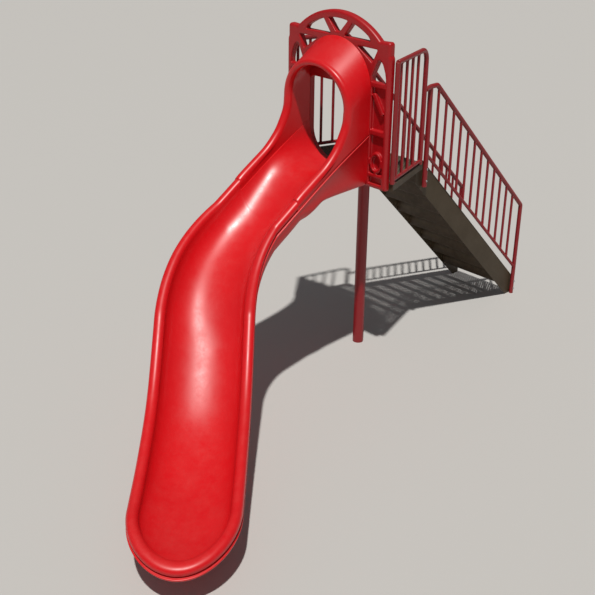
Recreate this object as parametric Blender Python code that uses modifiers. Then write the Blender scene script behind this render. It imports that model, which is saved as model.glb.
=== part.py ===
"""A freestanding playground slide, about 3.2 m tall and 5.6 m long, in metres with +Z up.

Stairs climb to a small tapered deck on one round post. A moulded entrance panel closes the front
of the deck, and a hooded plastic chute leaves it, turns 45 degrees to the rider's left and ends
in a rounded, rolled lip near the ground. The origin is the centre of the post's foot on the
ground, -Y is the way the chute starts and +Y is where the stairs come down. Left and right are
those of a person who climbs the stairs, so left is +X.
"""
import math

import bmesh
import bpy
from mathutils import Matrix, Vector

for old in list(bpy.data.objects):
    bpy.data.objects.remove(old, do_unlink=True)

# Driving dimensions, in metres ------------------------------------------------------------------
DECK_HEIGHT = 1.8288        # six feet from the ground to the deck's top
CLEARANCE = 0.0003          # the gap between two pieces that touch on the real slide

POST_RADIUS = 0.0508        # four inch steel pipe

DECK_FRONT_Y, DECK_REAR_Y = -0.3397, 0.290
DECK_FRONT_HALF, DECK_REAR_HALF = 0.625, 0.418
DECK_DEPTH, PLATE_THICKNESS = 0.061, 0.005
BEAM_OFFSET, BEAM_SIDE = 0.13, 0.05

PANEL_FRONT_Y, PANEL_DEPTH = -0.400, 0.060
PANEL_HALF, PANEL_FOOT, PANEL_SHOULDER, PANEL_EAR = 0.585, 1.765, 2.865, 2.985
ARCH_CENTRE, ARCH_OUTER, ARCH_INNER = 2.475, 0.685, 0.625
OPENING_HALF, OPENING_SILL, OPENING_TOP, OPENING_CORNER = 0.305, 1.875, 2.586, 0.035
OPENING_BOWL = 0.255

HOOD_HALF, HOOD_SPRING, HOOD_WALL, HOOD_CROWN_WALL = 0.390, 2.570, 0.085, 0.055
# The middle of the hood's rounded front edge, seen from the side as (forward, height), upwards.
HOOD_END = 0.80
HOOD_EDGE = [(HOOD_END, 1.785), (0.73, 1.835), (0.60, 1.915), (0.45, 2.010), (0.335, 2.120),
             (0.26, 2.220), (0.20, 2.330), (0.18, 2.440)]
HOOD_CROWN_EDGE = (0.245, 2.415)

CHUTE_START_Y = PANEL_FRONT_Y - CLEARANCE
CHUTE_STRAIGHT, CHUTE_BEND_RADIUS, CHUTE_RUNOUT = 1.025, 0.93, 1.50
CHUTE_TURN = math.radians(45)
CHUTE_WALL, CHUTE_HALF, RIM_RADIUS, RIM_DROP = 0.018, 0.3475, 0.0425, 0.042
CHUTE_SIDE, CHUTE_BOX_FOOT = 0.386, 1.757
NOSE_LENGTH = 0.47
# Heights along the chute's centre line: (distance from the panel, height).
RIM_HEIGHTS = [(0, 2.245), (0.4, 2.03), (0.9, 1.72), (1.4, 1.39), (1.85, 0.99), (2.3, 0.65),
               (2.8, 0.47), (3.3, 0.375)]
BED_HEIGHTS = [(0, 1.875), (0.25, 1.865), (0.45, 1.815), (0.6, 1.70), (0.8, 1.54), (1.0, 1.41),
               (1.4, 1.145), (1.85, 0.75), (2.3, 0.43), (2.8, 0.29), (3.3, 0.262)]

RAIL_RADIUS, LOW_RAIL_RADIUS, BAR_RADIUS, HAND_POST_RADIUS = 0.021, 0.0150, 0.0127, 0.024
GUARD_FRONT, GUARD_REAR, GUARD_HEIGHT = (0.610, -0.335), (0.428, 0.240), 1.004
GUARD_BARS, GUARD_FIRST_BAR, GUARD_BAR_PITCH = 4, 0.114, 0.199

RISERS = 9
RISE = DECK_HEIGHT / RISERS     # 203 mm up and 203 mm along, so the flight stands at 45 degrees
STRINGER_FACE, STRINGER_THICKNESS = 0.353, 0.00635
STRINGER_TOP_SUM, STRINGER_FOOT_SUM, STRINGER_END_Y = 2.190, 1.910, 2.000

HAND_X, HAND_FIRST_Y, HAND_KNEE_Y, HAND_END_Y = 0.377, 0.387, 0.478, 1.983
HAND_TOP, HAND_END_TOP, HAND_POST_FOOT = 2.479, 0.995, 1.573
HAND_LOWER_END, HAND_BARS, HAND_BAR_PITCH = 0.303, 12, 0.1192

LEG_STATION, LEG_RADIUS, SADDLE = 2.95, 0.030, (0.20, 0.12, 0.008)

BOLT_HEAD_RADIUS, BOLT_HEAD_HEIGHT, BOLT_RADIUS = 0.010, 0.006, 0.004


# Scene helpers ----------------------------------------------------------------------------------
parts = bpy.data.collections.new("playground_slide")
helpers = bpy.data.collections.new("cutters")
for collection in (parts, helpers):
    bpy.context.scene.collection.children.link(collection)


def make_material(name, colour, roughness, metallic=0.0):
    material = bpy.data.materials.new(name)
    material.use_nodes = True
    shader = material.node_tree.nodes["Principled BSDF"]
    shader.inputs["Base Color"].default_value = (*colour, 1)
    shader.inputs["Roughness"].default_value = roughness
    shader.inputs["Metallic"].default_value = metallic
    return material


PLASTIC = make_material("red_plastic", (0.60, 0.006, 0.008), 0.25)
RED_STEEL = make_material("red_coated_steel", (0.25, 0.006, 0.010), 0.35)
BROWN_STEEL = make_material("brown_coated_steel", (0.050, 0.032, 0.012), 0.60)
ZINC = make_material("zinc_plated_bolt", (0.35, 0.35, 0.36), 0.35, 1.0)


def place(obj, material, collection=parts):
    collection.objects.link(obj)
    if material:
        obj.data.materials.append(material)
    return obj


def make_helper(obj):
    """Keep an object only as a cutter, or as a piece that is welded into another."""
    for collection in list(obj.users_collection):
        collection.objects.unlink(obj)
    helpers.objects.link(obj)
    obj.hide_render = True
    obj.display_type = "WIRE"
    return obj


def object_from(bm, name, material):
    mesh = bpy.data.meshes.new(name)
    bm.to_mesh(mesh)
    bm.free()
    return place(bpy.data.objects.new(name, mesh), material)


def combine(obj, others, operation):
    """Weld the other meshes into obj, or cut them out of it."""
    for other in others:
        modifier = obj.modifiers.new(operation.lower(), "BOOLEAN")
        modifier.operation = operation
        modifier.object = other if other.hide_render else make_helper(other)
    return obj


def meshed(curve_object, name, material):
    """Turn a curve object into a mesh object in the same place, with its caps welded."""
    bpy.context.view_layer.update()
    graph = bpy.context.evaluated_depsgraph_get()
    mesh = bpy.data.meshes.new_from_object(curve_object.evaluated_get(graph))
    bm = bmesh.new()
    bm.from_mesh(mesh)
    bmesh.ops.remove_doubles(bm, verts=bm.verts, dist=0.00005)
    bmesh.ops.recalc_face_normals(bm, faces=bm.faces)
    bm.to_mesh(mesh)
    bm.free()
    mesh.materials.clear()
    where = curve_object.matrix_world.copy()
    bpy.data.objects.remove(curve_object, do_unlink=True)
    obj = place(bpy.data.objects.new(name, mesh), material)
    obj.matrix_world = where
    return obj


def poly_curve(name, loops, cyclic):
    curve = bpy.data.curves.new(name, "CURVE")
    curve.dimensions = "2D" if cyclic else "3D"
    for loop in loops:
        spline = curve.splines.new("POLY")
        spline.points.add(len(loop) - 1)
        for point, co in zip(spline.points, loop):
            point.co = (*co, 0, 1) if len(co) == 2 else (*co, 1)
        spline.use_cyclic_u = cyclic
    return curve


def rounded_path(corners, radius, steps=4):
    """The corners of an open path, each inner one replaced by an arc of this radius."""
    corners = [Vector(c) for c in corners]
    path = [corners[0]]
    for before, corner, after in zip(corners, corners[1:], corners[2:]):
        inward, outward = (before - corner).normalized(), (after - corner).normalized()
        half_angle = inward.angle(outward) / 2
        trim = radius / math.tan(half_angle)
        middle = corner + (inward + outward).normalized() * radius / math.sin(half_angle)
        start = (corner + inward * trim - middle).normalized()
        end = (corner + outward * trim - middle).normalized()
        for i in range(steps + 1):
            path.append(middle + start.slerp(end, i / steps) * radius)
    return path + [corners[-1]]


def tube(name, corners, radius, material, bend=0.0):
    path = rounded_path(corners, bend) if bend else [Vector(c) for c in corners]
    curve = poly_curve(name, [[tuple(p) for p in path]], cyclic=False)
    curve.bevel_depth = radius
    curve.bevel_resolution = 2
    curve.use_fill_caps = True
    return meshed(place(bpy.data.objects.new(name, curve), None), name, material)


def slab(name, loops, thickness, frame, material):
    """A flat outline, with any holes in it, thickened to both sides of its plane."""
    curve = poly_curve(name, loops, cyclic=True)
    curve.fill_mode = "BOTH"
    curve.extrude = thickness / 2
    obj = place(bpy.data.objects.new(name, curve), None)
    obj.matrix_world = frame
    return meshed(obj, name, material)


def front_plane(y):
    """Outlines in (x, z), standing at this y."""
    return Matrix(((1, 0, 0, 0), (0, 0, -1, y), (0, 1, 0, 0), (0, 0, 0, 1)))


def side_plane(x):
    """Outlines in (y, z), standing at this x."""
    return Matrix(((0, 0, 1, x), (1, 0, 0, 0), (0, 1, 0, 0), (0, 0, 0, 1)))


def level_plane(z):
    return Matrix.Translation((0, 0, z))


def block(name, size, centre, material):
    bm = bmesh.new()
    bmesh.ops.create_cube(bm, size=1.0, matrix=Matrix.Diagonal((*size, 1)))
    obj = object_from(bm, name, material)
    obj.location = centre
    return obj


def pillar(name, radius, bottom, top, material, segments=32):
    bm = bmesh.new()
    bmesh.ops.create_cone(bm, cap_ends=True, segments=segments, radius1=radius, radius2=radius,
                          depth=top - bottom)
    obj = object_from(bm, name, material)
    obj.location = (0, 0, (top + bottom) / 2)
    return obj


def arc(centre, radius, start, end, steps):
    """Points of an arc in the outline's plane, between two angles in degrees."""
    angles = [math.radians(start + (end - start) * i / steps) for i in range(steps + 1)]
    return [(centre[0] + radius * math.cos(a), centre[1] + radius * math.sin(a)) for a in angles]


def mirrored(loop):
    return [(-u, v) for u, v in reversed(loop)]


def smooth_height(stations, s):
    """A smooth curve through (distance, height) stations, level with its neighbours' slope."""
    s = min(max(s, stations[0][0]), stations[-1][0])
    i = max(k for k in range(len(stations) - 1) if stations[k][0] <= s)

    def slope(k):
        a, b = stations[max(k - 1, 0)], stations[min(k + 1, len(stations) - 1)]
        return (b[1] - a[1]) / (b[0] - a[0])

    (s0, z0), (s1, z1) = stations[i], stations[i + 1]
    span = s1 - s0
    t = (s - s0) / span
    return ((2 * t**3 - 3 * t**2 + 1) * z0 + (t**3 - 2 * t**2 + t) * span * slope(i)
            + (3 * t**2 - 2 * t**3) * z1 + (t**3 - t**2) * span * slope(i + 1))


def blend(start, end, t):
    t = min(max(t, 0.0), 1.0)
    return start + (end - start) * t * t * (3 - 2 * t)


# Fasteners --------------------------------------------------------------------------------------
def bolt_profile(length):
    """Half of a button-headed bolt, from the top of its head down to its tip."""
    mesh = bpy.data.meshes.new("bolt_profile")
    head, gap = BOLT_HEAD_HEIGHT, CLEARANCE
    outline = [(0, head + gap), (0.6 * BOLT_HEAD_RADIUS, head + gap),
               (BOLT_HEAD_RADIUS, 0.4 * head + gap), (BOLT_HEAD_RADIUS, gap),
               (BOLT_RADIUS, gap), (BOLT_RADIUS, -length), (0, -length)]
    points = [(r, 0, z) for r, z in outline]
    mesh.from_pydata(points, [(i, i + 1) for i in range(len(points) - 1)], [])
    return mesh


def bolt(name, seat, direction, length, through):
    """A bolt whose head rests at seat, with its hole cut through each piece it holds."""
    turn = Vector((0, 0, -1)).rotation_difference(Vector(direction)).to_matrix().to_4x4()
    obj = place(bpy.data.objects.new(name, bolt_profile(length)), ZINC)
    obj.matrix_world = Matrix.Translation(seat) @ turn
    spin = obj.modifiers.new("turn", "SCREW")
    spin.steps = spin.render_steps = 10
    spin.use_merge_vertices = True
    spin.merge_threshold = 0.00005
    bm = bmesh.new()
    bmesh.ops.create_cone(bm, cap_ends=True, segments=10, radius1=BOLT_RADIUS + 0.0006,
                          radius2=BOLT_RADIUS + 0.0006, depth=length + 0.002)
    cutter = object_from(bm, name + "_hole", None)
    cutter.matrix_world = Matrix.Translation(seat) @ turn @ Matrix.Translation((0, 0, -length / 2))
    make_helper(cutter)
    for piece in through:
        combine(piece, [cutter], "DIFFERENCE")
    return obj


# Post and deck ----------------------------------------------------------------------------------
def deck_half_at(y):
    run = (y - DECK_FRONT_Y) / (DECK_REAR_Y - DECK_FRONT_Y)
    return DECK_FRONT_HALF + (DECK_REAR_HALF - DECK_FRONT_HALF) * run


def make_deck():
    """A steel pan: a tapered plate with its four edges turned down."""
    lip = PLATE_THICKNESS
    outline = [(-DECK_FRONT_HALF, DECK_FRONT_Y), (DECK_FRONT_HALF, DECK_FRONT_Y),
               (DECK_REAR_HALF, DECK_REAR_Y), (-DECK_REAR_HALF, DECK_REAR_Y)]
    front, rear = DECK_FRONT_Y + lip, DECK_REAR_Y - lip
    hollow = [(-deck_half_at(front) + lip, front), (deck_half_at(front) - lip, front),
              (deck_half_at(rear) - lip, rear), (-deck_half_at(rear) + lip, rear)]
    deck = slab("deck", [outline], DECK_DEPTH, level_plane(DECK_HEIGHT - DECK_DEPTH / 2),
                BROWN_STEEL)
    inside = slab("deck_hollow", [hollow], DECK_DEPTH,
                  level_plane(DECK_HEIGHT - lip - DECK_DEPTH / 2), None)
    return combine(deck, [inside], "DIFFERENCE")


def make_post(deck):
    beam_top = DECK_HEIGHT - PLATE_THICKNESS - CLEARANCE
    beams = []
    for name, side in (("front", -1), ("rear", 1)):
        y = side * BEAM_OFFSET
        half = deck_half_at(y + BEAM_SIDE / 2) - 0.012
        beams.append(block(f"deck_beam_{name}", (2 * half, BEAM_SIDE, BEAM_SIDE),
                           (0, y, beam_top - BEAM_SIDE / 2), BROWN_STEEL))
    cap_top = beam_top - BEAM_SIDE - CLEARANCE
    cap_size = (0.16, 0.36, 0.010)
    cap = block("post_cap_plate", cap_size, (0, 0, cap_top - cap_size[2] / 2), RED_STEEL)
    cap_foot = cap_top - cap_size[2]
    pillar("support_post", POST_RADIUS, 0, cap_foot - CLEARANCE, RED_STEEL)
    for name, beam, side in (("front", beams[0], -1), ("rear", beams[1], 1)):
        for hand, x in (("left", 0.066), ("right", -0.066)):
            bolt(f"cap_bolt_{name}_{hand}", (x, side * BEAM_OFFSET, cap_foot), (0, 0, 1), 0.040,
                 [cap, beam])


# Entrance panel ---------------------------------------------------------------------------------
def panel_outline():
    edge = PANEL_HALF
    ear_outer, ear_inner = edge - 0.010, 0.462
    ear = [(edge, PANEL_FOOT), (edge, PANEL_SHOULDER), (ear_outer, PANEL_SHOULDER + 0.01)]
    ear += arc((ear_outer - 0.02, PANEL_EAR - 0.02), 0.02, 0, 90, 3)
    spring = math.degrees(math.acos(ear_inner / ARCH_OUTER))
    return ear + arc((0, ARCH_CENTRE), ARCH_OUTER, spring, 180 - spring, 20) + mirrored(ear)


def panel_windows():
    """The openings of the open work between the hood and the arch."""
    top = [(-0.022, 2.992), (0.022, 2.992)] + arc((0, ARCH_CENTRE), ARCH_INNER, 80, 100, 4)
    upper = [(0.073, 2.964), (0.368, 2.962)] + arc((0, ARCH_CENTRE), ARCH_INNER, 57, 75, 4)
    shoulder = [(0.215, 2.915), (0.388, 2.800), (0.443, 2.912)]
    column = [(0.392, 2.700), (0.392, 2.652), (0.542, 2.652), (0.540, 2.700), (0.530, 2.745),
              (0.505, 2.805), (0.480, 2.833), (0.455, 2.833)]
    return [top] + [w for loop in (upper, shoulder, column) for w in (loop, mirrored(loop))]


def panel_recesses():
    """Sunk fields beside the hood. The ribs and the ring stand between them."""
    inner, outer, ring = 0.400, 0.542, (0.471, 1.988)
    cells = [
        [(0.425, 2.612), (outer, 2.612), (outer, 2.450)],
        [(inner, 2.520), (outer, 2.385), (outer, 2.262), (inner, 2.262)],
        [(inner, 2.218), (outer, 2.218), (outer, 1.892), (inner, 1.892)],
        [(inner, 1.862), (outer, 1.862), (outer, 1.805), (inner, 1.805)],
    ]
    for half_width, half_height in ((0.066, 0.088), (0.046, 0.064)):
        turns = [2 * math.pi * i / 24 for i in range(24)]
        cells.append([(ring[0] + half_width * math.cos(t), ring[1] + half_height * math.sin(t))
                      for t in turns])
    return [side for cell in cells for side in (cell, mirrored(cell))]


def opening_outline():
    """The way through the panel: flat at the top, and a bowl like the chute's at the bottom."""
    corner = OPENING_CORNER
    bowl = [(OPENING_HALF * math.cos(math.radians(a)),
             OPENING_SILL + OPENING_BOWL * (1 + math.sin(math.radians(a))))
            for a in range(180, 361, 10)]
    top_right = arc((OPENING_HALF - corner, OPENING_TOP - corner), corner, 0, 90, 3)
    return bowl + top_right + mirrored(top_right)


def make_panel(deck):
    middle = PANEL_FRONT_Y + PANEL_DEPTH / 2
    panel = slab("entrance_panel", [panel_outline(), opening_outline()] + panel_windows(),
                 PANEL_DEPTH, front_plane(middle), PLASTIC)
    recess_depth = 0.020
    recess = slab("panel_recess", panel_recesses(), recess_depth * 2,
                  front_plane(PANEL_FRONT_Y), None)
    combine(panel, [recess], "DIFFERENCE")
    inside = DECK_FRONT_Y + PLATE_THICKNESS
    for hand, side in (("left", 1), ("right", -1)):
        for place_name, x in (("inner", 0.20), ("outer", 0.50)):
            bolt(f"panel_bolt_{hand}_{place_name}", (side * x, inside, DECK_HEIGHT - 0.035),
                 (0, -1, 0), 0.030, [panel, deck])
    return panel


# Chute ------------------------------------------------------------------------------------------
CHUTE_LENGTH = CHUTE_STRAIGHT + CHUTE_BEND_RADIUS * CHUTE_TURN + CHUTE_RUNOUT


def centre_line(s):
    """The chute's place and heading in plan, this far along from the panel."""
    turned = min(max(s - CHUTE_STRAIGHT, 0) / CHUTE_BEND_RADIUS, CHUTE_TURN)
    ahead = max(s - CHUTE_STRAIGHT - CHUTE_BEND_RADIUS * CHUTE_TURN, 0)
    heading = Vector((math.sin(turned), -math.cos(turned), 0))
    along = Vector((CHUTE_BEND_RADIUS * (1 - math.cos(turned)),
                    CHUTE_START_Y - min(s, CHUTE_STRAIGHT) - CHUTE_BEND_RADIUS * math.sin(turned),
                    0))
    return along + heading * ahead, heading


def joint_height(s):
    """The line along the outside where the hood meets the chute, and the rim's lower edge."""
    return smooth_height(RIM_HEIGHTS, s) - RIM_DROP


def half_section(rim_z, bed_z, foot_z, roundness, rolled):
    """Half of the chute's wall, as (outward, up): inner face, top, outer face.

    The top is a rolled rim, or under the hood a flat that the hood stands on.
    """
    faces = []
    inner_half, joint = CHUTE_HALF - RIM_RADIUS, rim_z - RIM_DROP
    top = rim_z if rolled else joint
    steps, rim_steps, lip_angle = 8, 7, -40
    for i in range(steps):
        a = math.pi / 2 * i / steps
        faces.append((inner_half * math.sin(a) ** 0.93, top - (top - bed_z) * math.cos(a) ** 0.93))
    for i in range(rim_steps + 1):
        a = math.radians(180 + (lip_angle - 180) * i / rim_steps)
        if rolled:
            faces.append((CHUTE_HALF + RIM_RADIUS * math.cos(a), rim_z + RIM_RADIUS * math.sin(a)))
        else:
            faces.append((inner_half + (CHUTE_SIDE - inner_half) * i / rim_steps, joint))
    faces.append((CHUTE_SIDE - 0.003, joint - 0.004))
    shoulder = joint - 0.030
    for i in reversed(range(steps + 1)):
        a = math.pi / 2 * i / steps
        faces.append(((CHUTE_SIDE - 0.003) * math.sin(a) ** (2 / roundness),
                      shoulder - (shoulder - foot_z) * math.cos(a) ** (2 / roundness)))
    return faces


def chute_section(s, rolled):
    rim_z, bed_z = smooth_height(RIM_HEIGHTS, s), smooth_height(BED_HEIGHTS, s)
    foot_z = blend(CHUTE_BOX_FOOT, bed_z - CHUTE_WALL, (s - 0.50) / 0.14)
    if s > 0.50:
        foot_z = min(foot_z, bed_z - CHUTE_WALL)
    roundness = blend(14, 2.8, (s - 0.45) / 0.30)
    return half_section(rim_z, bed_z, foot_z, roundness, rolled)


def section_loop(middle, left, right, half):
    """The whole section: the half of it laid out to the right, and back along the left."""
    up = Vector((0, 0, 1))
    near = [middle + right * u + up * z for u, z in half]
    far = [middle + left * u + up * z for u, z in half[1:-1]]
    return near + far[::-1]


def make_chute():
    count = 32
    stations = [HOOD_END * i / 9 for i in range(10)]
    stations += [HOOD_END + CLEARANCE + (CHUTE_LENGTH - HOOD_END - CLEARANCE) * i / (count - 9)
                 for i in range(count - 8)]
    loops = []
    for s in stations:
        middle, heading = centre_line(s)
        right = heading.cross(Vector((0, 0, 1)))
        loops.append(section_loop(middle, -right, right, chute_section(s, s > HOOD_END)))
    # The nose: the same half section swung round the chute's end, its rim sinking to the tip.
    bed_z, rim_z = smooth_height(BED_HEIGHTS, CHUTE_LENGTH), smooth_height(RIM_HEIGHTS, CHUTE_LENGTH)
    swings = 9
    for i in range(1, swings + 1):
        angle = math.pi / 2 * i / swings
        ahead = heading * math.sin(angle) * NOSE_LENGTH / CHUTE_HALF
        sunk = blend(rim_z, bed_z + 0.035, i / swings)
        half = half_section(sunk, bed_z, bed_z - CHUTE_WALL, 2.8, True)
        loops.append(section_loop(middle, ahead - right * math.cos(angle),
                                  ahead + right * math.cos(angle), half))
    bm = bmesh.new()
    rings = [[bm.verts.new(p) for p in loop] for loop in loops]
    for ring, following in zip(rings, rings[1:]):
        for i in range(len(ring)):
            j = (i + 1) % len(ring)
            bm.faces.new((ring[i], following[i], following[j], ring[j]))
    bm.faces.new(rings[0])
    bmesh.ops.remove_doubles(bm, verts=bm.verts, dist=0.00005)
    bmesh.ops.dissolve_degenerate(bm, dist=0.00005, edges=bm.edges)
    bmesh.ops.triangulate(bm, faces=bm.faces)
    bmesh.ops.recalc_face_normals(bm, faces=bm.faces)
    return object_from(bm, "slide_chute", PLASTIC)


# Hood -------------------------------------------------------------------------------------------
def hood_edge_at(place):
    """The front edge's middle and the way it faces, both as (forward, height)."""
    i = min(max(int(place), 0), len(HOOD_EDGE) - 2)
    (f0, z0), (f1, z1) = HOOD_EDGE[i], HOOD_EDGE[i + 1]
    t = place - i
    length = math.hypot(f1 - f0, z1 - z0)
    facing = (0, 1) if place <= 0 else ((z1 - z0) / length, (f0 - f1) / length)
    return (f0 + (f1 - f0) * t, z0 + (z1 - z0) * t), facing


def hood_rib(side, height, angle=None, foot=False):
    """One rib, from the panel to the front edge: its outer line, its front edge, its inner line.

    A rib on the upright side stands at a height from 0 to 1, and one on the arch at an angle.
    The foot's rib lies on the chute's top.
    """
    steps, wall, facing = 9, HOOD_WALL, None
    if angle is None:
        across = Vector((side, 0, 0))
        reach, top = HOOD_END, joint_height(HOOD_END)
        if not foot:
            (reach, top), facing = hood_edge_at(height * (len(HOOD_EDGE) - 1))
    else:
        side_edge = HOOD_EDGE[-1]
        reach = side_edge[0] + (HOOD_CROWN_EDGE[0] - side_edge[0]) * math.sin(angle)
        top = side_edge[1] + (HOOD_CROWN_EDGE[1] - side_edge[1]) * math.sin(angle)
        wall += (HOOD_CROWN_WALL - HOOD_WALL) * math.sin(angle) ** 2
        across = Vector((side * math.cos(angle), 0, math.sin(angle)))
        facing = (1, 0)
    outer = []
    for i in range(steps + 1):
        forward = reach * i / steps
        y = CHUTE_START_Y - forward
        if angle is None:
            start = (HOOD_SPRING - joint_height(0)) * height
            rise = start + (top - joint_height(reach) - start) * i / steps
            outer.append(Vector((side * HOOD_HALF, y, joint_height(forward) + CLEARANCE + rise)))
        else:
            spring = HOOD_SPRING + (top - HOOD_SPRING) * i / steps
            outer.append(Vector((0, y, spring)) + across * HOOD_HALF)
    inner = [p - across * wall for p in outer]
    core = (outer[-1] + inner[-1]) / 2
    edge = []
    if facing:
        ahead = Vector((0, -facing[0], facing[1]))
        turns = [math.pi * i / 6 for i in range(1, 6)]
        edge = [core + (ahead * math.sin(t) + across * math.cos(t)) * wall / 2 for t in turns]
    else:
        edge = [core + across * wall / 2 * math.cos(math.pi * i / 6) for i in range(1, 6)]
    return outer, edge, inner


def make_hood():
    """Ribs from one foot over the arch to the other, skinned, with the two feet closed."""
    heights, arch_steps = [i / 14 for i in range(14)], 16
    ribs = [hood_rib(-1, 0, foot=True)] + [hood_rib(-1, height) for height in heights]
    for i in range(arch_steps + 1):
        swing = math.pi * i / arch_steps
        side, angle = (-1, swing) if swing <= math.pi / 2 else (1, math.pi - swing)
        ribs.append(hood_rib(side, None, angle))
    ribs += [hood_rib(1, height) for height in reversed(heights)] + [hood_rib(1, 0, foot=True)]
    bm = bmesh.new()
    rings = []
    for outer, edge, inner in ribs:
        rings.append([bm.verts.new(p) for p in outer + edge + inner[::-1]])
    for ring, following in zip(rings, rings[1:]):
        for i in range(len(ring)):
            j = (i + 1) % len(ring)
            bm.faces.new((ring[i], following[i], following[j], ring[j]))
    for ring, (outer, edge, _) in ((rings[0], ribs[0]), (rings[-1], ribs[-1])):
        last = len(ring) - 1
        for i in range(len(outer) - 2):
            bm.faces.new((ring[i], ring[i + 1], ring[last - i - 1], ring[last - i]))
        bm.faces.new(ring[len(outer) - 2:len(outer) + len(edge) + 2])
    bmesh.ops.triangulate(bm, faces=bm.faces)
    bmesh.ops.recalc_face_normals(bm, faces=bm.faces)
    return object_from(bm, "slide_hood", PLASTIC)


def bolt_slide_to_panel(panel, chute, hood):
    """Bolts put in from the deck side of the panel."""
    back = PANEL_FRONT_Y + PANEL_DEPTH
    reach = PANEL_DEPTH + 0.030
    for hand, side in (("left", 1), ("right", -1)):
        bolt(f"chute_bolt_{hand}", (side * 0.346, back, 1.900), (0, -1, 0), reach, [panel, chute])
        bolt(f"hood_bolt_{hand}", (side * (HOOD_HALF - HOOD_WALL / 2), back, 2.420), (0, -1, 0),
             reach, [panel, hood])


# Rails ------------------------------------------------------------------------------------------
def make_guardrail(hand, side, deck):
    """A deck guardrail: a bent rail that is also its rear post, a front post, a low rail, bars."""
    name = f"guardrail_{hand}"
    front = Vector((side * GUARD_FRONT[0], GUARD_FRONT[1], 0))
    rear = Vector((side * GUARD_REAR[0], GUARD_REAR[1], 0))
    foot, top = DECK_HEIGHT + CLEARANCE, DECK_HEIGHT + GUARD_HEIGHT
    low = DECK_HEIGHT + 0.032

    def at(point, z):
        return (point.x, point.y, z)

    rail = tube(name, [at(front, top), at(rear, top), at(rear, foot)], RAIL_RADIUS, RED_STEEL,
                bend=0.10)
    welded = [tube("front_post", [at(front, foot), at(front, top)], RAIL_RADIUS, None),
              tube("low_rail", [at(front, low), at(rear, low)], LOW_RAIL_RADIUS, None)]
    for i in range(GUARD_BARS):
        point = front.lerp(rear, GUARD_FIRST_BAR + GUARD_BAR_PITCH * i)
        welded.append(tube("bar", [at(point, low), at(point, top)], BAR_RADIUS, None))
    tab = (0.070, 0.050, 0.006)
    seats = [(side * (GUARD_FRONT[0] - 0.036), GUARD_FRONT[1] + 0.028),
             (side * (GUARD_REAR[0] - 0.036), GUARD_REAR[1] - 0.003)]
    for x, y in seats:
        welded.append(block("tab", tab, (x, y, foot + 0.0005 + tab[2] / 2), None))
    combine(rail, welded, "UNION")
    for end, (x, y) in zip(("front", "rear"), seats):
        bolt(f"guard_bolt_{hand}_{end}", (x - side * 0.012, y, foot + 0.0005 + tab[2]), (0, 0, -1), 0.018,
             [rail, deck])
    return rail


def make_handrail(hand, side, stringer):
    """A stair handrail: a bent rail that ends in the foot post, an upper post, a low rail, bars."""
    name = f"handrail_{hand}"
    x = side * HAND_X
    pitch = (HAND_TOP - HAND_END_TOP) / (HAND_END_Y - HAND_KNEE_Y)

    def rail_z(y):
        return HAND_TOP - pitch * max(y - HAND_KNEE_Y, 0)

    def low_z(y):
        return HAND_LOWER_END + pitch * (HAND_END_Y - y)

    guard_post = Vector((side * GUARD_REAR[0], GUARD_REAR[1], HAND_TOP))
    upper_post = Vector((x, HAND_FIRST_Y, HAND_TOP))
    start = guard_post + (upper_post - guard_post).normalized() * (RAIL_RADIUS + 0.004)
    rail = tube(name, [start, (x, HAND_FIRST_Y, HAND_TOP), (x, HAND_KNEE_Y, HAND_TOP),
                       (x, HAND_END_Y, HAND_END_TOP), (x, HAND_END_Y, 0)],
                RAIL_RADIUS, RED_STEEL, bend=0.035)
    welded = [tube("upper_post", [(x, HAND_FIRST_Y, HAND_POST_FOOT), upper_post],
                   HAND_POST_RADIUS - 0.001, None),
              tube("low_rail", [(x, HAND_FIRST_Y, low_z(HAND_FIRST_Y)),
                                (x, HAND_END_Y, HAND_LOWER_END)], LOW_RAIL_RADIUS, None)]
    for i in range(HAND_BARS):
        y = HAND_FIRST_Y + HAND_BAR_PITCH * (i + 1)
        welded.append(tube("bar", [(x, y, low_z(y)), (x, y, rail_z(y))], BAR_RADIUS, None))
    combine(rail, welded, "UNION")
    through = 0.052
    for number, (y, z) in enumerate(((HAND_FIRST_Y, 1.740), (HAND_FIRST_Y, 1.630),
                                     (HAND_END_Y, 0.140), (HAND_END_Y, 0.060)), 1):
        bolt(f"handrail_bolt_{hand}_{number}", (x + side * HAND_POST_RADIUS, y, z),
             (-side, 0, 0), through, [rail, stringer])
    return rail


# Stairs -----------------------------------------------------------------------------------------
def make_stringer(hand, side):
    outline = [(DECK_REAR_Y + CLEARANCE, STRINGER_FOOT_SUM - DECK_REAR_Y),
               (STRINGER_FOOT_SUM, 0), (STRINGER_END_Y, 0),
               (STRINGER_END_Y, STRINGER_TOP_SUM - STRINGER_END_Y),
               (STRINGER_TOP_SUM - DECK_HEIGHT, DECK_HEIGHT), (DECK_REAR_Y + CLEARANCE, DECK_HEIGHT)]
    centre = side * (STRINGER_FACE - CLEARANCE - STRINGER_THICKNESS / 2)
    return slab(f"stair_stringer_{hand}", [outline], STRINGER_THICKNESS, side_plane(centre),
                BROWN_STEEL)


def make_step(number):
    """One folded plate: a tread, and behind it the riser up to the tread above."""
    thick = PLATE_THICKNESS
    back = DECK_REAR_Y + CLEARANCE + RISE * (number - 1)
    top = DECK_HEIGHT - RISE * number
    riser_top = top + RISE - thick - CLEARANCE
    nose = back + RISE - CLEARANCE
    if number == RISERS - 1:
        nose += 0.04
    outline = [(back, top - thick), (nose, top - thick), (nose, top), (back + thick, top),
               (back + thick, riser_top), (back, riser_top)]
    width = 2 * (STRINGER_FACE - STRINGER_THICKNESS - 3 * CLEARANCE)
    return slab(f"stair_step_{number}", [outline], width, side_plane(0), BROWN_STEEL)


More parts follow.
